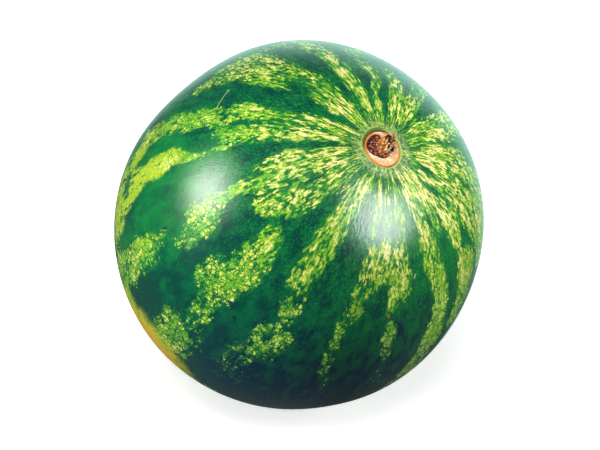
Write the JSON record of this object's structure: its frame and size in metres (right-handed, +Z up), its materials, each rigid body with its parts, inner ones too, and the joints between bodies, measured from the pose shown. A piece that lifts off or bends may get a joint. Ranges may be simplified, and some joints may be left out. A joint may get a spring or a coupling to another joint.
{
  "type": "watermelon",
  "caption": "Whole round watermelon with broken dark green stripes and a dry stalk stub, lying on a small flat spot.",
  "frame": {"origin": "on the small flat spot that the fruit rests on, straight below the middle of the fruit", "axes": "+Z up from the surface it rests on; the stem end points up, to +X and to -Y, 42 degrees from straight up"},
  "size_m": [0.2308, 0.2324, 0.2333],
  "materials": {
    "rind": "satin",
    "dry_stalk": "matte"
  },
  "bodies": {
    "root": {"fruit": "rind", "stalk_stub": "dry_stalk"}
  },
  "joints": []
}
